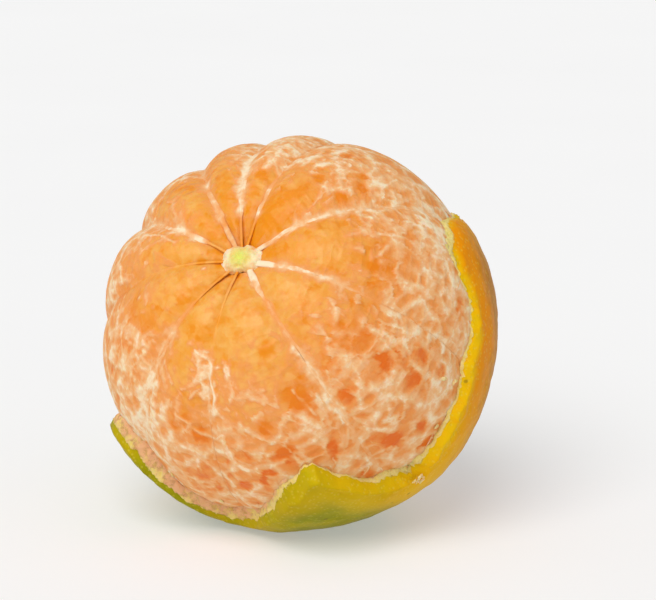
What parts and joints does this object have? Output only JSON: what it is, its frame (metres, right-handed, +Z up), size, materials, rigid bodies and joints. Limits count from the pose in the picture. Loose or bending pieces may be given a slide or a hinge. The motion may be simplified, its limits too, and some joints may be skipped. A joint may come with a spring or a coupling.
{
  "type": "half-peeled sweet orange",
  "caption": "Half-peeled sweet orange resting on its remaining cup of green-yellow peel, with the ball of juicy segments and its white pith strands bare above.",
  "frame": {"origin": "on the small flat spot that the fruit rests on, straight below the middle of the ball of segments", "axes": "+Z up from the surface that it rests on; -Y towards the viewer of the picture, who sees the peeled end lean forward, up and a little to the left"},
  "size_m": [0.073, 0.0715, 0.071],
  "materials": {
    "peel": "waxy green-yellow rind with fine oil-gland pits, cream and matt where it is torn",
    "pith": "dry, matt, creamy white fibres",
    "segment": "moist, thin, translucent orange skin over juice sacs"
  },
  "bodies": {
    "root": {"peel": "peel", "pith": "pith", "segment_01": "segment", "segment_02": "segment", "segment_03": "segment", "segment_04": "segment", "segment_05": "segment", "segment_06": "segment", "segment_07": "segment", "segment_08": "segment", "segment_09": "segment", "segment_10": "segment"}
  },
  "joints": []
}
